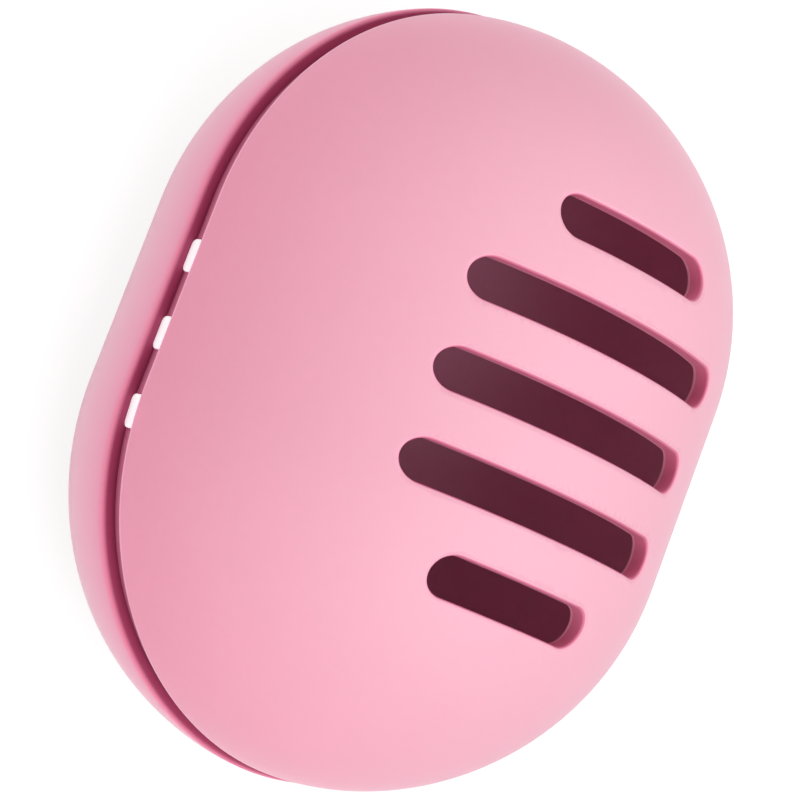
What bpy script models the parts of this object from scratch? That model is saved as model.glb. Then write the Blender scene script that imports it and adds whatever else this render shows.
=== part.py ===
"""Makeup sponge case: a vented cover and a base shell of moulded silicone, hinged on three short straps.

Metres, +Z up. The case lies closed on the base's resting flat. The origin is the middle of that flat,
+Y runs along the case, and the hinge is on the -X flank.
"""
import math

import bmesh
import bpy

MM = 0.001

# The rims follow one outline: two half circles joined by straight flanks along Y.
FLANK_LENGTH = 20 * MM
COVER_END_RADIUS = 32 * MM
BASE_OVERHANG = 0.5 * MM

# Heights from the parting plane, where the cover's rim face lies.
COVER_HEIGHT = 30 * MM
BASE_DEPTH = 22 * MM

# A profile falls from its crown to its rim as height * (1 - r ** crown) ** (1 / side).
COVER_CROWN_POWER = 2.1
COVER_SIDE_POWER = 1.75
BASE_CROWN_POWER = 5.2
BASE_SIDE_POWER = 1.75

# Walls, and the running gap between parts that fit into each other.
COVER_WALL = 2.2 * MM
BASE_FLOOR = 2.2 * MM
FIT_GAP = 0.3 * MM

# The resting flat is cut into the base's crown by this depth.
FLAT_DEPTH = 0.3 * MM

# Rim of the cover, and the skirt under it that plugs into the base.
RIM_CHAMFER = 0.2 * MM
SKIRT_SETBACK = 1.35 * MM
SKIRT_DROP = 4.3 * MM
SKIRT_END_ROUND = 0.35 * MM

# Lip of the base: its rounded edge stays this far under the cover's rim and makes the groove.
GROOVE_HEIGHT = 2.3 * MM
LIP_LAND = 1.0 * MM

# Locking bead on the skirt, seated in a channel inside the base's lip.
BEAD_RADIUS = 0.45 * MM
BEAD_DROP = 3.35 * MM
CHANNEL_GAP = 0.25 * MM
CHANNEL_HALF_DEGREES = 60

# Vents: parallel slots with round ends and rounded mouths, in a row along Y.
VENT_WIDTH = 4.3 * MM
VENT_PITCH = 9.28 * MM
VENT_HALF_LENGTHS = (9.85 * MM, 16.3 * MM, 16.3 * MM, 16.3 * MM, 9.85 * MM)
VENT_ROW_X = -1.75 * MM
VENT_ROW_Y = 0.85 * MM
VENT_MOUTH_ROUND = 0.5 * MM
VENT_MOUTH_DEGREES = (35, 70)
CUT_OVERRUN = 0.3 * MM
VENT_POINT_SPACING = 2 * MM

# Hinge straps, standing on the lip's land in a row along the -X flank, just clear of the skirt.
STRAP_NAMES = ("hinge_strap_upper", "hinge_strap_middle", "hinge_strap_lower")
STRAP_WIDTH = 3.5 * MM
STRAP_THICKNESS = 0.45 * MM
STRAP_PITCH = 8.3 * MM
STRAP_ROW_Y = -4.45 * MM
STRAP_CORNER_ROUND = 0.5 * MM
STRAP_EDGE_ROUND = 0.1 * MM
OPEN_GAP = 0.4 * MM

# Mesh resolution, and the distance under which doubled points are merged.
ARC_STEPS = 26
CROWN_STEPS = 14
ROUND_STEPS = 4
EDGE_STEPS = 2
SHARP_DEGREES = 40
VENT_END_STEPS = 8
MERGE_DISTANCE = 0.001 * MM

# Heights above the resting flat, and radii from the spine that joins the two half circles.
PARTING_Z = BASE_DEPTH
HALF_FLANK = FLANK_LENGTH / 2
BASE_END_RADIUS = COVER_END_RADIUS + BASE_OVERHANG
CAVITY_RADIUS = COVER_END_RADIUS - COVER_WALL
SKIRT_RADIUS = COVER_END_RADIUS - SKIRT_SETBACK
LIP_INNER_RADIUS = SKIRT_RADIUS + FIT_GAP
LIP_ROUND = BASE_END_RADIUS - LIP_INNER_RADIUS - LIP_LAND
LIP_TOP_Z = PARTING_Z - GROOVE_HEIGHT
LEDGE_Z = PARTING_Z - SKIRT_DROP - FIT_GAP
BEAD_Z = PARTING_Z - BEAD_DROP

# The cover turns about this line: opened flat, its flank clears the base's flank by OPEN_GAP.
HINGE_X = -(COVER_END_RADIUS + BASE_END_RADIUS + OPEN_GAP) / 2
HINGE_Z = PARTING_Z - GROOVE_HEIGHT / 2


def crown_height(radius, end_radius, height, crown_power, side_power):
    """Height over the rim of a domed profile, at a radius from the spine."""
    share = min(radius / end_radius, 1.0)
    return height * (1.0 - share ** crown_power) ** (1.0 / side_power)


def crown_profile(end_radius, height, crown_power, side_power, flat_depth=0.0):
    """(radius, height) points from the crown out to the rim, starting at the edge of a flat if it has one."""
    flat_share = (1.0 - (1.0 - flat_depth / height) ** side_power) ** (1.0 / crown_power)
    start = math.asin(flat_share)
    points = []
    for step in range(CROWN_STEPS + 1):
        angle = start + (math.pi / 2 - start) * step / CROWN_STEPS
        radius = end_radius * math.sin(angle)
        points.append((radius, crown_height(radius, end_radius, height, crown_power, side_power)))
    if flat_depth > 0:
        points.insert(0, (0.0, points[0][1]))
    return points


def arc(center_radius, center_z, radius, start_degrees, end_degrees):
    """Points of an arc in the section plane. 0 degrees points away from the spine, 90 degrees up."""
    points = []
    for step in range(ROUND_STEPS + 1):
        angle = math.radians(start_degrees + (end_degrees - start_degrees) * step / ROUND_STEPS)
        points.append((center_radius + radius * math.cos(angle), center_z + radius * math.sin(angle)))
    return points


def cover_section():
    """The cover's wall from the outer crown over rim, skirt and bead to the inner crown."""
    outer = crown_profile(COVER_END_RADIUS, COVER_HEIGHT, COVER_CROWN_POWER, COVER_SIDE_POWER)
    section = [(radius, PARTING_Z + height) for radius, height in outer[:-1]]
    section.append((COVER_END_RADIUS, PARTING_Z + RIM_CHAMFER))
    section.append((COVER_END_RADIUS - RIM_CHAMFER, PARTING_Z))
    section.append((SKIRT_RADIUS, PARTING_Z))
    section += arc(SKIRT_RADIUS, BEAD_Z, BEAD_RADIUS, 90, -90)
    skirt_end = PARTING_Z - SKIRT_DROP
    section += arc(SKIRT_RADIUS - SKIRT_END_ROUND, skirt_end + SKIRT_END_ROUND, SKIRT_END_ROUND, 0, -90)
    section += arc(CAVITY_RADIUS + SKIRT_END_ROUND, skirt_end + SKIRT_END_ROUND, SKIRT_END_ROUND, -90, -180)
    inner = crown_profile(CAVITY_RADIUS, COVER_HEIGHT - COVER_WALL, COVER_CROWN_POWER, COVER_SIDE_POWER)
    section += [(radius, PARTING_Z + height) for radius, height in reversed(inner)]
    return section


def base_section():
    """The base's wall from the resting flat over rounded lip, channel and ledge to the inner floor."""
    equator = LIP_TOP_Z - LIP_ROUND
    outer_height = equator + FLAT_DEPTH
    outer = crown_profile(BASE_END_RADIUS, outer_height, BASE_CROWN_POWER, BASE_SIDE_POWER, FLAT_DEPTH)
    section = [(radius, equator - height) for radius, height in outer[:-1]]
    section += arc(BASE_END_RADIUS - LIP_ROUND, equator, LIP_ROUND, 0, 90)
    section.append((LIP_INNER_RADIUS, LIP_TOP_Z))
    channel_radius = BEAD_RADIUS + CHANNEL_GAP
    turn = CHANNEL_HALF_DEGREES
    section += arc(LIP_INNER_RADIUS - FIT_GAP, BEAD_Z, channel_radius, turn, -turn)
    section.append((LIP_INNER_RADIUS, LEDGE_Z))
    inner = crown_profile(CAVITY_RADIUS, LEDGE_Z - BASE_FLOOR, BASE_CROWN_POWER, BASE_SIDE_POWER)
    section += [(radius, LEDGE_Z - height) for radius, height in reversed(inner)]
    return section


def sweep_round_outline(name, section):
    """Carries a section from crown to crown round both half circles and along both flanks."""
    mesh = bpy.data.meshes.new(name)
    bm = bmesh.new()
    points = [bm.verts.new((radius, HALF_FLANK, z)) for radius, z in section]
    front = points + [bm.edges.new(pair) for pair in zip(points, points[1:])]
    for side in (1, -1):
        center = (0.0, side * HALF_FLANK, 0.0)
        turn = bmesh.ops.spin(bm, geom=front, cent=center, axis=(0, 0, 1), angle=math.pi, steps=ARC_STEPS)
        edges = [item for item in turn["geom_last"] if isinstance(item, bmesh.types.BMEdge)]
        flank = bmesh.ops.extrude_edge_only(bm, edges=edges)
        front = [item for item in flank["geom"] if not isinstance(item, bmesh.types.BMFace)]
        moved = [item for item in front if isinstance(item, bmesh.types.BMVert)]
        bmesh.ops.translate(bm, verts=moved, vec=(0.0, -side * FLANK_LENGTH, 0.0))
    bmesh.ops.remove_doubles(bm, verts=bm.verts, dist=MERGE_DISTANCE)
    bmesh.ops.recalc_face_normals(bm, faces=bm.faces)
    bm.to_mesh(mesh)
    bm.free()
    mesh.shade_smooth()
    mesh.set_sharp_from_angle(angle=math.radians(SHARP_DEGREES))
    return bpy.data.objects.new(name, mesh)


def cover_surface_z(x, y):
    """Height of the cover's outer surface above the resting flat."""
    radius = math.hypot(x, max(abs(y) - HALF_FLANK, 0.0))
    height = crown_height(radius, COVER_END_RADIUS, COVER_HEIGHT, COVER_CROWN_POWER, COVER_SIDE_POWER)
    return PARTING_Z + height


def vent_outline(half_length, center_y):
    """(x, y, outward x, outward y) points round a slot with half-round ends, anticlockwise."""
    half_width = VENT_WIDTH / 2
    straight = 2 * (half_length - half_width)
    runs = math.ceil(straight / VENT_POINT_SPACING)
    points = []
    for side in (1, -1):
        end_x = side * (half_length - half_width)
        for step in range(VENT_END_STEPS + 1):
            angle = math.pi * (step / VENT_END_STEPS - side / 2)
            along, across = math.cos(angle), math.sin(angle)
            points.append((end_x + half_width * along, half_width * across, along, across))
        for step in range(1, runs):
            points.append((end_x - side * straight * step / runs, side * half_width, 0.0, side))
    return [(VENT_ROW_X + x, center_y + y, along, across) for x, y, along, across in points]


def vent_cutter(name, half_length, center_y):
    """A prism up through the dome that flares where it meets the outer surface, to round the vent's mouth."""
    bm = bmesh.new()
    outline = vent_outline(half_length, center_y)
    first, second = (math.radians(degrees) for degrees in VENT_MOUTH_DEGREES)
    spreads = [0.0] + [VENT_MOUTH_ROUND * (1 - math.cos(angle)) for angle in (first, second)]
    depths = [VENT_MOUTH_ROUND] + [VENT_MOUTH_ROUND * (1 - math.sin(angle)) for angle in (first, second)]
    slope = (spreads[2] - spreads[1]) / (depths[1] - depths[2])
    spreads[2] += (depths[2] + CUT_OVERRUN) * slope
    depths[2] = -CUT_OVERRUN
    rings = [[bm.verts.new((x, y, PARTING_Z)) for x, y, along, across in outline]]
    for spread, depth in zip(spreads, depths):
        ring = []
        for x, y, along, across in outline:
            out_x, out_y = x + along * spread, y + across * spread
            ring.append(bm.verts.new((out_x, out_y, cover_surface_z(out_x, out_y) - depth)))
        rings.append(ring)
    top = PARTING_Z + COVER_HEIGHT + VENT_MOUTH_ROUND
    rings.append([bm.verts.new((vert.co.x, vert.co.y, top)) for vert in rings[-1]])
    for lower, upper in zip(rings, rings[1:]):
        for index, vert in enumerate(lower):
            bm.faces.new((lower[index - 1], vert, upper[index], upper[index - 1]))
    bm.faces.new(reversed(rings[0]))
    bm.faces.new(rings[-1])
    mesh = bpy.data.meshes.new(name)
    bm.to_mesh(mesh)
    bm.free()
    cutter = bpy.data.objects.new(name, mesh)
    cutter.hide_render = True
    cutter.display_type = "WIRE"
    return cutter


def cut(target, cutter):
    """Cuts one body out of another and keeps the cut editable."""
    modifier = target.modifiers.new(cutter.name, "BOOLEAN")
    modifier.object = cutter
    modifier.operation = "DIFFERENCE"
    modifier.solver = "EXACT"


def hinge_strap(name, center_y):
    """A flat strap with round corners across the groove, from the lip's land up to the cover's rim face.

    Past the end of the straight flank it turns with the outline.
    """
    height = GROOVE_HEIGHT - 2 * FIT_GAP
    bm = bmesh.new()
    bmesh.ops.create_cube(bm, size=STRAP_WIDTH)
    slimness = STRAP_THICKNESS / STRAP_WIDTH
    bmesh.ops.scale(bm, verts=bm.verts, vec=(slimness, 1.0, height / STRAP_WIDTH))
    through = [edge for edge in bm.edges if edge.calc_length() < min(STRAP_WIDTH, height)]
    bmesh.ops.bevel(bm, geom=through, offset=STRAP_CORNER_ROUND, segments=ROUND_STEPS, profile=0.5, affect="EDGES")
    mesh = bpy.data.meshes.new(name)
    bm.to_mesh(mesh)
    bm.free()
    strap = bpy.data.objects.new(name, mesh)
    stand_radius = LIP_INNER_RADIUS + STRAP_THICKNESS / 2
    past_flank = max(abs(center_y) - HALF_FLANK, 0.0)
    turn = math.copysign(math.asin(past_flank / stand_radius), -center_y)
    strap.location = (-stand_radius * math.cos(turn), center_y, HINGE_Z)
    strap.rotation_euler.z = turn
    rounding = strap.modifiers.new("rounded edges", "BEVEL")
    rounding.width = STRAP_EDGE_ROUND
    rounding.segments = EDGE_STEPS
    return strap


def silicone(name, color, roughness):
    """A Principled material in one silicone colour."""
    material = bpy.data.materials.new(name)
    material.use_nodes = True
    shader = material.node_tree.nodes["Principled BSDF"]
    shader.inputs["Base Color"].default_value = (*color, 1.0)
    shader.inputs["Roughness"].default_value = roughness
    shader.inputs["Metallic"].default_value = 0.0
    return material


def clear_scene():
    for item in list(bpy.data.objects):
        bpy.data.objects.remove(item, do_unlink=True)


def build_case():
    clear_scene()
    link = bpy.context.scene.collection.objects.link

    base = sweep_round_outline("base_shell", base_section())
    base.data.materials.append(silicone("base silicone", (0.80, 0.44, 0.52), 0.55))
    link(base)

    cover = sweep_round_outline("vented_cover", cover_section())
    cover.data.materials.append(silicone("cover silicone", (0.87, 0.46, 0.58), 0.55))
    link(cover)
    middle_vent = (len(VENT_HALF_LENGTHS) - 1) / 2
    for number, half_length in enumerate(VENT_HALF_LENGTHS):
        center_y = VENT_ROW_Y + (middle_vent - number) * VENT_PITCH
        cutter = vent_cutter(f"vent_cutter_{number + 1}", half_length, center_y)
        link(cutter)
        cut(cover, cutter)

    hinge = bpy.data.objects.new("hinge_line", None)
    hinge.location = (HINGE_X, STRAP_ROW_Y, HINGE_Z)
    link(hinge)
    bpy.context.view_layer.update()
    cover.parent = hinge
    cover.matrix_parent_inverse = hinge.matrix_world.inverted()

    strap_silicone = silicone("strap silicone", (0.93, 0.86, 0.88), 0.5)
    middle_strap = (len(STRAP_NAMES) - 1) / 2
    for number, name in enumerate(STRAP_NAMES):
        strap = hinge_strap(name, STRAP_ROW_Y + (middle_strap - number) * STRAP_PITCH)
        strap.data.materials.append(strap_silicone)
        link(strap)


build_case()
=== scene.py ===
"""Looks for the makeup sponge case: silicone shells, hinge straps, soft studio light and camera."""
import math

import bmesh
import bpy
from mathutils import Matrix, Vector


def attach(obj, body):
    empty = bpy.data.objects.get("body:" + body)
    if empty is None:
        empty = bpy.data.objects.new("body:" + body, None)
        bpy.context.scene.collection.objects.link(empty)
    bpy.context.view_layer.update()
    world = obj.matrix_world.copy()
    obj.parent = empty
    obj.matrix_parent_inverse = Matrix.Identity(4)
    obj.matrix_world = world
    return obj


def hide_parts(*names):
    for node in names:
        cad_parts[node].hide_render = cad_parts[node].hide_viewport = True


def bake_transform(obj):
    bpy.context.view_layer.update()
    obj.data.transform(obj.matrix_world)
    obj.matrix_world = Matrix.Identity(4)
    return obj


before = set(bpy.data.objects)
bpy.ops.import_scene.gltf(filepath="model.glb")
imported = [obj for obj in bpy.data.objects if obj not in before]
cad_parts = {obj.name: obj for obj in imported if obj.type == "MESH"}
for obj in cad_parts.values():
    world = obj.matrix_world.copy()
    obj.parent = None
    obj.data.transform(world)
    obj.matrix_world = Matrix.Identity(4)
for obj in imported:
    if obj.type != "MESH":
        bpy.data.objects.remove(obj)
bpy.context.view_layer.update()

MM = 0.001

# Sizes of the shells, as in the frame.
HALF_FLANK = 10 * MM
COVER_RADIUS = 32 * MM
BASE_RADIUS = 32.5 * MM
COVER_HEIGHT = 30 * MM
PARTING_Z = 22 * MM
COVER_CROWN_POWER = 2.1
COVER_SIDE_POWER = 1.75
BASE_CROWN_POWER = 5.2
BASE_SIDE_POWER = 1.75
WALL = 2.2 * MM
FIT_GAP = 0.3 * MM
FLAT_DEPTH = 0.3 * MM
GROOVE_HEIGHT = 2.3 * MM
LIP_LAND = 1.0 * MM
SKIRT_SETBACK = 1.35 * MM
SKIRT_DROP = 4.3 * MM
SKIRT_END_ROUND = 0.35 * MM
BEAD_RADIUS = 0.45 * MM
BEAD_DROP = 3.35 * MM
CHANNEL_GAP = 0.25 * MM
CHANNEL_HALF_DEGREES = 60
CAVITY_RADIUS = COVER_RADIUS - WALL
SKIRT_RADIUS = COVER_RADIUS - SKIRT_SETBACK
LIP_INNER_RADIUS = SKIRT_RADIUS + FIT_GAP
LIP_ROUND = BASE_RADIUS - LIP_INNER_RADIUS - LIP_LAND
LIP_TOP_Z = PARTING_Z - GROOVE_HEIGHT
LEDGE_Z = PARTING_Z - SKIRT_DROP - FIT_GAP
BEAD_Z = PARTING_Z - BEAD_DROP

# Finer than in the frame: the rim's edge, a collar under the rim, and the skirt's end close over its seat.
RIM_ROUND = 0.1 * MM
COLLAR_RADIUS = 31.15 * MM
COLLAR_FOOT_GAP = 0.08 * MM
COLLAR_ROUND = 0.1 * MM
SEAT_GAP = 0.005 * MM
SKIRT_INNER_ROUND = 0.02 * MM

# Vents: as in the frame, with a round at the inner edge too and a band of painted highlight along it.
VENT_WIDTH = 4.3 * MM
VENT_PITCH = 9.28 * MM
VENT_HALF_LENGTHS = (9.85 * MM, 16.3 * MM, 16.3 * MM, 16.3 * MM, 9.85 * MM)
VENT_ROW_X = -1.75 * MM
VENT_ROW_Y = 0.85 * MM
VENT_MOUTH_ROUND = 0.5 * MM
VENT_INNER_ROUND = 0.2 * MM
VENT_HIGHLIGHT_BAND = 0.45 * MM
VENT_POINT_SPACING = 0.5 * MM

# The vents' cutters turn outwards up to this angle, then pass the surface at a quarter of its slope.
FLARE_ANGLE = math.radians(75)
FLARE_SLANT = 0.25
FLARE_OVERRUN = 0.3 * MM

# How near a surface the middle of a face may lie and still belong to it.
CAVITY_WALL_MARGIN = 0.05 * MM
CAVITY_CROWN_MARGIN = 0.1 * MM
CAVITY_FLOOR_MARGIN = 0.3 * MM
VENT_MOUTH_MARGIN = 0.15 * MM
VENT_EDGE_MARGIN = 0.03 * MM

# Hinge straps: they end just clear of both shells.
STRAP_WIDTH = 3.5 * MM
STRAP_THICKNESS = 0.45 * MM
STRAP_PITCH = 8.3 * MM
STRAP_ROW_Y = -4.45 * MM
STRAP_END_GAP = 0.01 * MM
STRAP_CORNER_ROUND = 0.55 * MM
STRAP_EDGE_ROUND = 0.12 * MM

# The open cover's crown hangs lower than the resting flat, so the floor has a smooth hollow there.
FLOOR_REACH = 3000 * MM
FLOOR_GAP = 0.05 * MM
HOLLOW_MIDDLE_X = -64.9 * MM
HOLLOW_DEPTH = 11 * MM
HOLLOW_FLAT_RADIUS = 8 * MM
HOLLOW_RADIUS = 34 * MM

# Mesh resolution and shading.
ARC_STEPS = 96
FLANK_STEPS = 20
CROWN_STEPS = 56
ROUND_STEPS = 8
FLARE_STEPS = 8
STRAP_ROWS = 40
STRAP_EDGE_STEPS = 6
VENT_END_STEPS = 28
HOLLOW_STEPS = 60
MERGE_DISTANCE = 0.0005 * MM
SHARP_DEGREES = 50
LARGE_FACE_WEIGHT = 100


def add_object(name, data):
    made = bpy.data.objects.new(name, data)
    bpy.context.scene.collection.objects.link(made)
    return made


def spine_distance(x, y):
    """Distance on plan from the line between the middles of the two half circles."""
    return math.hypot(x, max(abs(y) - HALF_FLANK, 0.0))


def crown_height(radius, end_radius, height, crown_power, side_power):
    """Height over the rim at a radius; the powers set how flat the crown is and how full the side."""
    share = min(radius / end_radius, 1.0)
    return height * (1.0 - share ** crown_power) ** (1.0 / side_power)


def crown_profile(end_radius, height, crown_power, side_power, flat_depth=0.0):
    """(radius, height) points from the crown out to the rim; a flat takes its depth off the crown."""
    flat_share = (1.0 - (1.0 - flat_depth / height) ** side_power) ** (1.0 / crown_power)
    start = math.asin(flat_share)
    points = []
    for step in range(CROWN_STEPS + 1):
        angle = start + (math.pi / 2 - start) * step / CROWN_STEPS
        radius = end_radius * math.sin(angle)
        points.append((radius, crown_height(radius, end_radius, height, crown_power, side_power)))
    if flat_depth > 0:
        points.insert(0, (0.0, points[0][1]))
    return points


def arc(center_radius, center_z, radius, start_degrees, end_degrees):
    points = []
    for step in range(ROUND_STEPS + 1):
        angle = math.radians(start_degrees + (end_degrees - start_degrees) * step / ROUND_STEPS)
        points.append((center_radius + radius * math.cos(angle), center_z + radius * math.sin(angle)))
    return points


def cover_section():
    """The cover's wall from the outer crown over rim, collar, skirt and bead to the inner crown."""
    outer = crown_profile(COVER_RADIUS, COVER_HEIGHT, COVER_CROWN_POWER, COVER_SIDE_POWER)
    section = [(radius, PARTING_Z + height) for radius, height in outer if height > 2 * RIM_ROUND]
    section += arc(COVER_RADIUS - RIM_ROUND, PARTING_Z + RIM_ROUND, RIM_ROUND, 0, -90)
    section.append((COLLAR_RADIUS, PARTING_Z))
    collar_foot = LIP_TOP_Z + COLLAR_FOOT_GAP
    section += arc(COLLAR_RADIUS - COLLAR_ROUND, collar_foot + COLLAR_ROUND, COLLAR_ROUND, 0, -90)
    section.append((SKIRT_RADIUS, collar_foot))
    section += arc(SKIRT_RADIUS, BEAD_Z, BEAD_RADIUS, 90, -90)
    skirt_end = LEDGE_Z + SEAT_GAP
    section += arc(SKIRT_RADIUS - SKIRT_END_ROUND, skirt_end + SKIRT_END_ROUND, SKIRT_END_ROUND, 0, -90)
    inner_round = SKIRT_INNER_ROUND
    section += arc(CAVITY_RADIUS + inner_round, skirt_end + inner_round, inner_round, -90, -180)
    inner = crown_profile(CAVITY_RADIUS, COVER_HEIGHT - WALL, COVER_CROWN_POWER, COVER_SIDE_POWER)
    section += [(radius, PARTING_Z + height) for radius, height in reversed(inner)]
    return section


def base_section():
    """The base's wall from the resting flat over rounded lip, channel and ledge to the inner floor."""
    equator = LIP_TOP_Z - LIP_ROUND
    outer_height = equator + FLAT_DEPTH
    outer = crown_profile(BASE_RADIUS, outer_height, BASE_CROWN_POWER, BASE_SIDE_POWER, FLAT_DEPTH)
    section = [(radius, equator - height) for radius, height in outer[:-1]]
    section += arc(BASE_RADIUS - LIP_ROUND, equator, LIP_ROUND, 0, 90)
    section.append((LIP_INNER_RADIUS, LIP_TOP_Z))
    channel_radius = BEAD_RADIUS + CHANNEL_GAP
    half_turn = CHANNEL_HALF_DEGREES
    section += arc(LIP_INNER_RADIUS - FIT_GAP, BEAD_Z, channel_radius, half_turn, -half_turn)
    section.append((LIP_INNER_RADIUS, LEDGE_Z))
    inner = crown_profile(CAVITY_RADIUS, LEDGE_Z - WALL, BASE_CROWN_POWER, BASE_SIDE_POWER)
    section += [(radius, LEDGE_Z - height) for radius, height in reversed(inner)]
    return section


def sweep(name, section):
    """Carries a section round both half circles and along both flanks."""
    stations = []
    for side in (1, -1):
        for step in range(ARC_STEPS + 1):
            angle = math.pi * step / ARC_STEPS + (0 if side > 0 else math.pi)
            stations.append((math.cos(angle), math.sin(angle), side * HALF_FLANK))
        for step in range(1, FLANK_STEPS):
            along = side * HALF_FLANK * (1 - 2 * step / FLANK_STEPS)
            stations.append((-side, 0.0, along))
    verts = []
    for out_x, out_y, center_y in stations:
        verts += [(radius * out_x, center_y + radius * out_y, z) for radius, z in section]
    count = len(section)
    faces = []
    for index in range(len(stations)):
        here, there = index * count, ((index + 1) % len(stations)) * count
        for point in range(count - 1):
            faces.append((here + point, here + point + 1, there + point + 1, there + point))
    mesh = bpy.data.meshes.new(name)
    mesh.from_pydata(verts, [], faces)
    bm = bmesh.new()
    bm.from_mesh(mesh)
    bmesh.ops.remove_doubles(bm, verts=bm.verts, dist=MERGE_DISTANCE)
    bmesh.ops.recalc_face_normals(bm, faces=bm.faces)
    bm.to_mesh(mesh)
    bm.free()
    return add_object(name, mesh)


def loft(name, rings):
    """A closed solid through rings that all have the same number of points."""
    bm = bmesh.new()
    rows = [[bm.verts.new(point) for point in ring] for ring in rings]
    for lower, upper in zip(rows, rows[1:]):
        for index, vert in enumerate(lower):
            bm.faces.new((lower[index - 1], vert, upper[index], upper[index - 1]))
    bm.faces.new(list(reversed(rows[0])))
    bm.faces.new(rows[-1])
    bmesh.ops.recalc_face_normals(bm, faces=bm.faces)
    mesh = bpy.data.meshes.new(name)
    bm.to_mesh(mesh)
    bm.free()
    return add_object(name, mesh)


def dome_z(x, y, radius, height):
    crown = crown_height(spine_distance(x, y), radius, height, COVER_CROWN_POWER, COVER_SIDE_POWER)
    return PARTING_Z + crown


def outer_z(x, y):
    return dome_z(x, y, COVER_RADIUS, COVER_HEIGHT)


def inner_z(x, y):
    return dome_z(x, y, CAVITY_RADIUS, COVER_HEIGHT - WALL)


def vent_outline(half_length, center_y):
    """(x, y, outward x, outward y) points round a slot with half-round ends, anticlockwise."""
    half_width = VENT_WIDTH / 2
    straight = 2 * (half_length - half_width)
    runs = math.ceil(straight / VENT_POINT_SPACING)
    points = []
    for side in (1, -1):
        end_x = side * (half_length - half_width)
        for step in range(VENT_END_STEPS + 1):
            angle = math.pi * (step / VENT_END_STEPS - side / 2)
            along, across = math.cos(angle), math.sin(angle)
            points.append((end_x + half_width * along, half_width * across, along, across))
        for step in range(1, runs):
            points.append((end_x - side * straight * step / runs, side * half_width, 0.0, side))
    return [(VENT_ROW_X + x, center_y + y, along, across) for x, y, along, across in points]


def flare(edge_round):
    """(outward, depth) steps from a vent's wall round its edge and on past the surface."""
    steps = []
    for step in range(FLARE_STEPS + 1):
        angle = FLARE_ANGLE * step / FLARE_STEPS
        steps.append((edge_round * (1 - math.cos(angle)), edge_round * (1 - math.sin(angle))))
    outward, depth = steps[-1]
    beyond = (depth + FLARE_OVERRUN) * math.tan(FLARE_ANGLE) * FLARE_SLANT
    steps.append((outward + beyond, -FLARE_OVERRUN))
    return steps


def vent_cutter(name, half_length, center_y):
    """A prism up through the dome, flared at its inner and its outer surface to round the vent's edges."""
    outline = vent_outline(half_length, center_y)

    def ring(outward, surface, offset):
        points = []
        for x, y, along, across in outline:
            out_x, out_y = x + along * outward, y + across * outward
            points.append((out_x, out_y, surface(out_x, out_y) + offset))
        return points

    rings = [ring(outward, inner_z, depth) for outward, depth in reversed(flare(VENT_INNER_ROUND))]
    # A ring at the top of the painted highlight band, so that the mesh has an edge there.
    rings.append(ring(0.0, inner_z, VENT_HIGHLIGHT_BAND))
    rings += [ring(outward, outer_z, -depth) for outward, depth in flare(VENT_MOUTH_ROUND)]
    bottom = [(x, y, PARTING_Z) for x, y, z in rings[0]]
    top = [(x, y, PARTING_Z + COVER_HEIGHT + VENT_MOUTH_ROUND) for x, y, z in rings[-1]]
    return loft(name, [bottom] + rings + [top])


def apply_modifiers(piece):
    """Makes the evaluated mesh the piece's own."""
    bpy.context.view_layer.update()
    graph = bpy.context.evaluated_depsgraph_get()
    mesh = bpy.data.meshes.new_from_object(piece.evaluated_get(graph), depsgraph=graph)
    piece.modifiers.clear()
    piece.data = mesh
    mesh.name = piece.name


def shade(piece):
    """Smooth shading, broken at sharp edges."""
    piece.data.shade_smooth()
    piece.data.set_sharp_from_angle(angle=math.radians(SHARP_DEGREES))


def weight_normals(piece):
    """Lets the large faces set the shading, so that the narrow rounds beside them don't smear it."""
    weighted = piece.modifiers.new("weighted normals", "WEIGHTED_NORMAL")
    weighted.keep_sharp = True
    weighted.weight = LARGE_FACE_WEIGHT


# Materials

def node(tree, kind, **values):
    made = tree.nodes.new(kind)
    for key, value in values.items():
        setattr(made, key, value)
    return made


def link(tree, source, target):
    tree.links.new(source, target)


def noise(tree, coordinates, scale, detail, roughness=0.5):
    made = node(tree, "ShaderNodeTexNoise")
    made.inputs["Scale"].default_value = scale
    made.inputs["Detail"].default_value = detail
    made.inputs["Roughness"].default_value = roughness
    link(tree, coordinates, made.inputs["Vector"])
    return made.outputs["Fac"]


def remap(tree, value, low, high, from_low=0.3, from_high=0.7):
    """Maps from_low..from_high to low..high; a noise stays mostly between the default ends."""
    made = node(tree, "ShaderNodeMapRange")
    made.inputs["From Min"].default_value = from_low
    made.inputs["From Max"].default_value = from_high
    made.inputs["To Min"].default_value = low
    made.inputs["To Max"].default_value = high
    link(tree, value, made.inputs["Value"])
    return made.outputs["Result"]


def combine(tree, operation, first, second):
    """Two values made into one; the second may be a plain number."""
    made = node(tree, "ShaderNodeMath", operation=operation)
    link(tree, first, made.inputs[0])
    if isinstance(second, float):
        made.inputs[1].default_value = second
    else:
        link(tree, second, made.inputs[1])
    return made.outputs[0]


def mix_color(tree, factor, first, second, blend="MIX"):
    made = node(tree, "ShaderNodeMix", data_type="RGBA", blend_type=blend)
    for socket, value in ((made.inputs[0], factor), (made.inputs[6], first), (made.inputs[7], second)):
        if isinstance(value, tuple):
            socket.default_value = (*value, 1.0)
        else:
            link(tree, value, socket)
    return made.outputs[2]


def openness(tree, reach, samples, inside=False):
    """1 where nothing lies within the reach in front of the surface or, with inside, behind it."""
    made = node(tree, "ShaderNodeAmbientOcclusion", samples=samples, inside=inside)
    made.inputs["Distance"].default_value = reach
    return made.outputs["AO"]


def bump(tree, height, strength, depth):
    made = node(tree, "ShaderNodeBump")
    made.inputs["Strength"].default_value = strength
    made.inputs["Distance"].default_value = depth
    link(tree, height, made.inputs["Height"])
    return made


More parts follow.
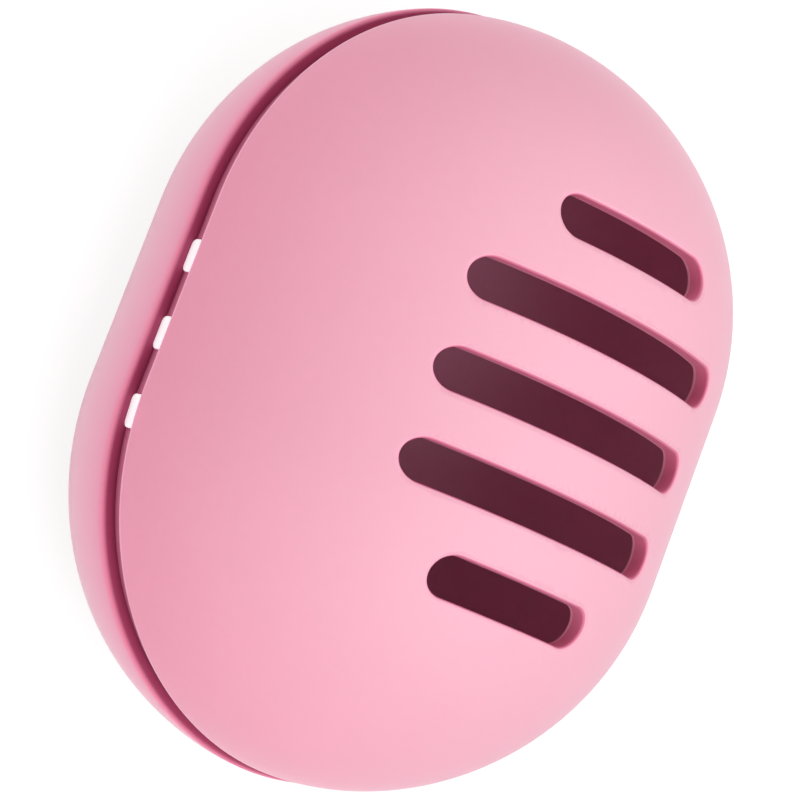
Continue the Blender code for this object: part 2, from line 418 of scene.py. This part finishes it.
# Silicone's surface: scales of its noises, and reaches of its edges, bumps and scattered light.
CLOUD_SCALE = 30.0
CLOUD_STRENGTH = 0.5
MOTTLE_SCALE = 900.0
MOTTLE_PALENESS = 0.08
ROUGHNESS = (0.5, 0.62)
SCUFF_SCALE = 260.0
SCUFF_LEAST = 0.55
EDGE_REACH = 0.5 * MM
EDGE_SAMPLES = 12
EDGE_SOLIDITY = (0.6, 0.92)
EDGE_PALENESS = 0.75
CREVICE_SAMPLES = 16
DIMPLE_SCALE = 420.0
DIMPLE_STRENGTH = 0.15
DIMPLE_DEPTH = 0.05 * MM
GRAIN_SCALE = 5200.0
GRAIN_STRENGTH = 0.18
GRAIN_DEPTH = 0.02 * MM
SCATTER_REACH = 1.2 * MM

# Painted shade in crevices, hollows and under overhangs: reach, then the openness between which the soft
# and the deep painted shade set in.
CREVICE_SHADE = (4.0 * MM, (0.8, 1.0), (0.6, 0.95))
GROOVE_SHADE = (6.5 * MM, (0.85, 1.0), (0.66, 0.98))

# Painted light and shade in the pigment: the painted highlight line over the rim, and the darker insides,
# painted shade, over the parting and under the ledge.
RIM_HIGHLIGHT_HEIGHT = 0.2 * MM
RIM_HIGHLIGHT_END = 0.32 * MM
INSIDE_SHADE_FADE = 10 * MM

# Colours that several surfaces share, in linear red, green and blue.
CLOUD_TINT = (0.975, 0.955, 0.97)
SHEEN_TINT = (1.0, 0.93, 0.95)
SCATTER_TINT = (1.0, 0.35, 0.42)
PALE = (1.0, 0.50, 0.66)
# A painted highlight for the cover's rim edge.
RIM_HIGHLIGHT = (1.0, 0.45, 0.63)
# Painted shade, soft and deep, for crevices and hollows.
SOFT_PAINTED_SHADE = (0.84, 0.24, 0.38)
DEEP_PAINTED_SHADE = (0.38, 0.05, 0.13)
# The darker inside colour, painted shade, where the insides of both shells meet.
INSIDE_SHADE_SEAT = (0.84, 0.41, 0.57)


def pigment_by_height(tree, coordinates, stops):
    """Pigment between (height, pigment) stops, given from the lowest up."""
    axes = node(tree, "ShaderNodeSeparateXYZ")
    link(tree, coordinates, axes.inputs[0])
    lowest, highest = stops[0][0], stops[-1][0]
    pigment = node(tree, "ShaderNodeValToRGB")
    link(tree, remap(tree, axes.outputs["Z"], 0.0, 1.0, lowest, highest), pigment.inputs[0])
    band = pigment.color_ramp
    # The place of a new stop doesn't matter here, because each is set below.
    while len(band.elements) < len(stops):
        band.elements.new(0.5)
    for element, (level, color) in zip(band.elements, stops):
        element.position = (level - lowest) / (highest - lowest)
        element.color = (*color, 1.0)
    return pigment.outputs[0]


def edge_wear_and_highlight(tree, coordinates):
    """Paler outer edges, broken up by scuffs: partly rubbed wear, partly a painted edge highlight."""
    solidity = openness(tree, EDGE_REACH, EDGE_SAMPLES, inside=True)
    edge = remap(tree, solidity, 1.0, 0.0, *EDGE_SOLIDITY)
    scratches = noise(tree, coordinates, SCUFF_SCALE, detail=5.0, roughness=0.65)
    scuffs = remap(tree, scratches, SCUFF_LEAST, 1.0)
    return remap(tree, combine(tree, "MULTIPLY", edge, scuffs), 0.0, EDGE_PALENESS, 0.0, 1.0)


def silicone(name, stops, pale, soft_shade, deep_shade, shading=CREVICE_SHADE, sheen=0.4, subsurface=0.12):
    """Soft-touch silicone: cloudy pigment, fine grain, a powdery sheen, paler edges that are partly wear
    and partly painted highlight, and painted shade in crevices.
    """
    material = bpy.data.materials.new(name)
    material.use_nodes = True
    tree = material.node_tree
    shader = tree.nodes["Principled BSDF"]
    coordinates = node(tree, "ShaderNodeTexCoord").outputs["Object"]

    clouds = remap(tree, noise(tree, coordinates, CLOUD_SCALE, detail=2.0), 0.0, CLOUD_STRENGTH)
    mottle = remap(tree, noise(tree, coordinates, MOTTLE_SCALE, detail=4.0, roughness=0.6), 0.0, 1.0)
    pigment = pigment_by_height(tree, coordinates, stops)
    tint = mix_color(tree, clouds, pigment, CLOUD_TINT, "MULTIPLY")
    tint = mix_color(tree, remap(tree, mottle, 0.0, MOTTLE_PALENESS, 0.0, 1.0), tint, pale)
    # Paler outer edges: partly wear, partly painted highlight.
    tint = mix_color(tree, edge_wear_and_highlight(tree, coordinates), tint, pale)
    reach, soft_shade_from, deep_shade_from = shading
    # Painted shade: the less open the surface, the more its colour turns to the soft and then the deep
    # painted shade.
    opened = openness(tree, reach, CREVICE_SAMPLES)
    tint = mix_color(tree, remap(tree, opened, 1.0, 0.0, *soft_shade_from), tint, soft_shade)
    tint = mix_color(tree, remap(tree, opened, 1.0, 0.0, *deep_shade_from), tint, deep_shade)
    link(tree, tint, shader.inputs["Base Color"])
    link(tree, remap(tree, mottle, *ROUGHNESS, 0.0, 1.0), shader.inputs["Roughness"])

    soft_height = noise(tree, coordinates, DIMPLE_SCALE, detail=2.0)
    fine_height = noise(tree, coordinates, GRAIN_SCALE, detail=3.0, roughness=0.6)
    dimples = bump(tree, soft_height, DIMPLE_STRENGTH, DIMPLE_DEPTH)
    grain = bump(tree, fine_height, GRAIN_STRENGTH, GRAIN_DEPTH)
    link(tree, dimples.outputs["Normal"], grain.inputs["Normal"])
    link(tree, grain.outputs["Normal"], shader.inputs["Normal"])

    shader.inputs["Metallic"].default_value = 0.0
    shader.inputs["IOR"].default_value = 1.42
    shader.inputs["Specular IOR Level"].default_value = 0.35
    shader.inputs["Sheen Weight"].default_value = sheen
    shader.inputs["Sheen Roughness"].default_value = 0.35
    shader.inputs["Sheen Tint"].default_value = (*SHEEN_TINT, 1.0)
    shader.inputs["Subsurface Weight"].default_value = subsurface
    shader.inputs["Subsurface Radius"].default_value = SCATTER_TINT
    shader.inputs["Subsurface Scale"].default_value = SCATTER_REACH
    return material


# The cover's pigment is deeper near the rim and paler towards the crown: painted light and shade, set to
# how light falls on the dome.
cover_silicone = silicone(
    "cover silicone",
    stops=(
        # A painted highlight line along the rim's edge, then the cover's own pigment.
        (PARTING_Z, RIM_HIGHLIGHT),
        (PARTING_Z + RIM_HIGHLIGHT_HEIGHT, RIM_HIGHLIGHT),
        (PARTING_Z + RIM_HIGHLIGHT_END, (0.905, 0.335, 0.47)),
        (PARTING_Z + COVER_HEIGHT, (0.89, 0.462, 0.564)),
    ),
    pale=PALE,
    soft_shade=SOFT_PAINTED_SHADE,
    deep_shade=(0.75, 0.17, 0.30),
)
# A darker copy of the silicone for the collar and skirt under the rim: painted shade.
shaded_skirt_silicone = silicone(
    "shaded skirt silicone",
    stops=((LEDGE_Z, (0.84, 0.28, 0.43)), (PARTING_Z, (0.85, 0.30, 0.46))),
    pale=PALE,
    soft_shade=SOFT_PAINTED_SHADE,
    deep_shade=(0.50, 0.095, 0.19),
)
# A darker, deeper copy of the silicone for the vents' walls: painted shade inside the slots.
shaded_vent_silicone = silicone(
    "shaded vent silicone",
    stops=((PARTING_Z, (0.84, 0.20, 0.35)), (PARTING_Z + COVER_HEIGHT, (0.84, 0.22, 0.37))),
    pale=PALE,
    soft_shade=SOFT_PAINTED_SHADE,
    deep_shade=(0.80, 0.16, 0.30),
    sheen=0.0,
)
# A paler band along the vents' inner edges: painted highlight, kept out of the painted shade.
vent_edge_highlight = silicone(
    "vent edge highlight",
    stops=((PARTING_Z, (1.0, 0.44, 0.59)), (PARTING_Z + COVER_HEIGHT, (1.0, 0.46, 0.60))),
    pale=PALE,
    soft_shade=(1.0, 0.43, 0.58),
    deep_shade=(1.0, 0.42, 0.57),
    sheen=0.0,
)
base_silicone = silicone(
    "base silicone",
    # The base's pigment turns deeper towards the lip, painted shade under the cover's rim, and paler
    # further down, painted light.
    stops=(
        (LIP_TOP_Z - 8 * MM, (0.92, 0.48, 0.60)),
        (LIP_TOP_Z - 2.5 * MM, (0.93, 0.40, 0.54)),
        (LIP_TOP_Z - 1.0 * MM, (0.93, 0.35, 0.50)),
        (LIP_TOP_Z - 0.1 * MM, (0.90, 0.22, 0.36)),
    ),
    pale=PALE,
    soft_shade=SOFT_PAINTED_SHADE,
    deep_shade=DEEP_PAINTED_SHADE,
    shading=GROOVE_SHADE,
)
# The insides of both shells take darker copies of the silicone: painted shade, as the cavity gets little
# light.
cover_inside_shade = silicone(
    "cover inside shade",
    stops=((PARTING_Z, INSIDE_SHADE_SEAT), (PARTING_Z + INSIDE_SHADE_FADE, (0.86, 0.43, 0.585))),
    pale=(0.90, 0.46, 0.58),
    soft_shade=SOFT_PAINTED_SHADE,
    deep_shade=DEEP_PAINTED_SHADE,
    sheen=0.0,
)
base_inside_shade = silicone(
    "base inside shade",
    stops=((LEDGE_Z - INSIDE_SHADE_FADE, (0.815, 0.39, 0.55)), (LEDGE_Z, INSIDE_SHADE_SEAT)),
    pale=(0.82, 0.42, 0.56),
    soft_shade=SOFT_PAINTED_SHADE,
    deep_shade=DEEP_PAINTED_SHADE,
    sheen=0.0,
)
strap_silicone = silicone(
    "strap silicone",
    stops=((LIP_TOP_Z, (0.97, 0.94, 0.95)), (PARTING_Z, (0.98, 0.95, 0.96))),
    pale=(1.0, 0.98, 0.99),
    soft_shade=(0.98, 0.94, 0.96),
    deep_shade=(0.96, 0.90, 0.93),
    subsurface=0.0,
)
# The straps glow faintly: painted light that lifts them to near white in the shade under the rim.
glowing_strap_shader = strap_silicone.node_tree.nodes["Principled BSDF"]
glowing_strap_shader.inputs["Emission Color"].default_value = (1.0, 0.93, 0.96, 1.0)
glowing_strap_shader.inputs["Emission Strength"].default_value = 0.34


def dress(piece, material, belongs):
    """Gives the material to the faces whose middle the test accepts."""
    piece.data.materials.append(material)
    slot = len(piece.data.materials) - 1
    for face in piece.data.polygons:
        if belongs(face.center):
            face.material_index = slot


def inside_cover(point):
    """On the cover's cavity: its wall under the parting, its crown above."""
    if point.z < PARTING_Z:
        return spine_distance(point.x, point.y) < CAVITY_RADIUS + CAVITY_WALL_MARGIN
    margin = CAVITY_CROWN_MARGIN
    return point.z < dome_z(point.x, point.y, CAVITY_RADIUS + margin, COVER_HEIGHT - WALL + margin)


def on_skirt(point):
    return point.z < PARTING_Z - RIM_ROUND and not inside_cover(point)


def in_crown(point):
    """In the upper half of the cover, where the vents are."""
    return point.z > PARTING_Z + COVER_HEIGHT / 2


def in_vent(point):
    above_inner = point.z - inner_z(point.x, point.y)
    below_outer = outer_z(point.x, point.y) - point.z
    return in_crown(point) and above_inner > VENT_HIGHLIGHT_BAND and below_outer > VENT_MOUTH_MARGIN


def on_vent_edge(point):
    above_inner = point.z - inner_z(point.x, point.y)
    return in_crown(point) and VENT_EDGE_MARGIN < above_inner <= VENT_HIGHLIGHT_BAND


def inside_base(point):
    from_spine = spine_distance(point.x, point.y)
    depth = crown_height(from_spine, CAVITY_RADIUS + CAVITY_CROWN_MARGIN, LEDGE_Z - WALL,
                         BASE_CROWN_POWER, BASE_SIDE_POWER)
    lowest = max(LEDGE_Z - depth - CAVITY_FLOOR_MARGIN, WALL / 2)
    return from_spine < CAVITY_RADIUS and lowest < point.z < LEDGE_Z


# Shells

cover = sweep("vented_cover_fine", cover_section())
middle_vent = (len(VENT_HALF_LENGTHS) - 1) / 2
cutters = []
for number, half_length in enumerate(VENT_HALF_LENGTHS):
    center_y = VENT_ROW_Y + (middle_vent - number) * VENT_PITCH
    cutter = vent_cutter(f"vent_cutter_{number + 1}", half_length, center_y)
    cut = cover.modifiers.new(cutter.name, "BOOLEAN")
    cut.object = cutter
    cut.operation = "DIFFERENCE"
    cut.solver = "EXACT"
    cutters.append(cutter)
apply_modifiers(cover)
for cutter in cutters:
    bpy.data.objects.remove(cutter)
cover.data.materials.clear()
cover.data.materials.append(cover_silicone)
dress(cover, cover_inside_shade, inside_cover)
dress(cover, shaded_skirt_silicone, on_skirt)
dress(cover, shaded_vent_silicone, in_vent)
dress(cover, vent_edge_highlight, on_vent_edge)
shade(cover)
weight_normals(cover)
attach(cover, "cover")
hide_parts("vented_cover")

base = sweep("base_shell_fine", base_section())
base.data.materials.append(base_silicone)
dress(base, base_inside_shade, inside_base)
shade(base)
weight_normals(base)
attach(base, "base")
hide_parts("base_shell")


# Hinge straps

def strap_ring(z):
    """The strap's outline at a height: a rectangle with round corners, narrower near both ends."""
    from_end = max(min(z - LIP_TOP_Z, PARTING_Z - z), 0.0)
    short = max(STRAP_CORNER_ROUND - from_end, 0.0)
    narrowed = STRAP_CORNER_ROUND - math.sqrt(STRAP_CORNER_ROUND ** 2 - short ** 2)
    half_y = STRAP_WIDTH / 2 - narrowed
    ring = []
    for side_x, side_y, start in ((1, 1, 0), (-1, 1, 90), (-1, -1, 180), (1, -1, 270)):
        corner_x = side_x * (STRAP_THICKNESS / 2 - STRAP_EDGE_ROUND)
        corner_y = side_y * (half_y - STRAP_EDGE_ROUND)
        for step in range(STRAP_EDGE_STEPS + 1):
            angle = math.radians(start + 90 * step / STRAP_EDGE_STEPS)
            x = corner_x + STRAP_EDGE_ROUND * math.cos(angle)
            y = corner_y + STRAP_EDGE_ROUND * math.sin(angle)
            ring.append(Vector((x, y, z)))
    return ring


def strap(name, replaced, center_y):
    """A living hinge: a thin web between the lip's land and the rim's face, turned with the outline."""
    bottom, top = LIP_TOP_Z + STRAP_END_GAP, PARTING_Z - STRAP_END_GAP
    stand_radius = LIP_INNER_RADIUS + STRAP_THICKNESS / 2
    past_flank = max(abs(center_y) - HALF_FLANK, 0.0)
    turn = math.copysign(math.asin(past_flank / stand_radius), -center_y)
    middle = Vector((-stand_radius * math.cos(turn), center_y, 0.0))
    stand = Matrix.Translation(middle) @ Matrix.Rotation(turn, 4, "Z")
    levels = [bottom + (top - bottom) * row / STRAP_ROWS for row in range(STRAP_ROWS + 1)]
    piece = loft(name, [[stand @ point for point in strap_ring(z)] for z in levels])
    piece.data.materials.append(strap_silicone)
    shade(piece)
    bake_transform(piece)
    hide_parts(replaced)


for number, rank in enumerate(("upper", "middle", "lower")):
    strap(f"hinge_strap_{rank}_fine", f"hinge_strap_{rank}", STRAP_ROW_Y + (1 - number) * STRAP_PITCH)


# Floor, lights and camera

def floor_level(x, y):
    """Height of the floor: level, with a slope eased at both ends down into the hollow."""
    from_spine = spine_distance(x - HOLLOW_MIDDLE_X, y)
    share = (from_spine - HOLLOW_FLAT_RADIUS) / (HOLLOW_RADIUS - HOLLOW_FLAT_RADIUS)
    share = min(max(share, 0.0), 1.0)
    return -FLOOR_GAP - HOLLOW_DEPTH * (1 - share * share * (3 - 2 * share))


def floor_lines(middle, half_width):
    """Places of the grid's lines: close together over the hollow, then one at each end of the floor."""
    fine = [middle + half_width * (2 * step / HOLLOW_STEPS - 1) for step in range(HOLLOW_STEPS + 1)]
    return [-FLOOR_REACH] + fine + [FLOOR_REACH]


def floor_material():
    """Pale grey, with a glow that only camera, reflection and transmission rays see: it lights nothing."""
    material = bpy.data.materials.new("pale floor")
    material.use_nodes = True
    tree = material.node_tree
    shader = tree.nodes["Principled BSDF"]
    shader.inputs["Base Color"].default_value = (0.9, 0.9, 0.9, 1.0)
    shader.inputs["Roughness"].default_value = 0.9
    shader.inputs["Specular IOR Level"].default_value = 0.1
    glow = node(tree, "ShaderNodeEmission")
    glow.inputs["Strength"].default_value = 1.15
    rays = node(tree, "ShaderNodeLightPath")
    seen = combine(tree, "MAXIMUM", rays.outputs["Is Camera Ray"], rays.outputs["Is Glossy Ray"])
    seen = combine(tree, "MAXIMUM", seen, rays.outputs["Is Transmission Ray"])
    glow_share = combine(tree, "MULTIPLY", seen, 0.75)
    mix = node(tree, "ShaderNodeMixShader")
    link(tree, glow_share, mix.inputs[0])
    link(tree, shader.outputs[0], mix.inputs[1])
    link(tree, glow.outputs[0], mix.inputs[2])
    link(tree, mix.outputs[0], tree.nodes["Material Output"].inputs["Surface"])
    return material


def floor():
    columns = floor_lines(HOLLOW_MIDDLE_X, HOLLOW_RADIUS)
    rows = floor_lines(0.0, HALF_FLANK + HOLLOW_RADIUS)
    verts = [(x, y, floor_level(x, y)) for y in rows for x in columns]
    width = len(columns)
    faces = []
    for row in range(len(rows) - 1):
        for column in range(width - 1):
            corner = row * width + column
            faces.append((corner, corner + 1, corner + width + 1, corner + width))
    mesh = bpy.data.meshes.new("floor")
    mesh.from_pydata(verts, [], faces)
    mesh.shade_smooth()
    plane = add_object("floor", mesh)
    plane.data.materials.append(floor_material())


def area_light(name, position, size, power):
    """A soft light, in metres and watts, that points at the middle of the case."""
    case_middle = Vector((0.0, 0.0, 0.026))
    data = bpy.data.lights.new(name, "AREA")
    data.shape = "SQUARE"
    data.size = size
    data.energy = power
    light = add_object(name, data)
    light.location = position
    light.rotation_euler = (case_middle - Vector(position)).to_track_quat("-Z", "Y").to_euler()


floor()
area_light("overhead", (0.05, -0.25, 0.75), 0.7, 4.8)
area_light("right_fill", (0.7, 0.25, 0.45), 0.7, 0.25)
area_light("back_fill", (0.0, 0.75, 0.4), 0.7, 1.8)
area_light("lens_fill", (-0.48, -0.1, 0.62), 0.5, 0.15)
area_light("left_fill", (-0.7, -0.15, 0.15), 0.5, 0.8)

world = bpy.data.worlds.new("studio")
world.use_nodes = True
world.node_tree.nodes["Background"].inputs["Color"].default_value = (1.0, 1.0, 1.0, 1.0)
world.node_tree.nodes["Background"].inputs["Strength"].default_value = 0.365
bpy.context.scene.world = world

camera_data = bpy.data.cameras.new("camera")
camera_data.sensor_width = 36
camera_data.lens = 113.36
camera_data.clip_start = 0.01
camera_data.clip_end = 20
camera = add_object("camera", camera_data)
camera.location = (-163.39 * MM, -32.49 * MM, 232.43 * MM)
camera.rotation_euler = [math.radians(angle) for angle in (-9.091, -37.139, 26.087)]
bpy.context.scene.camera = camera
bpy.context.scene.view_settings.view_transform = "Standard"
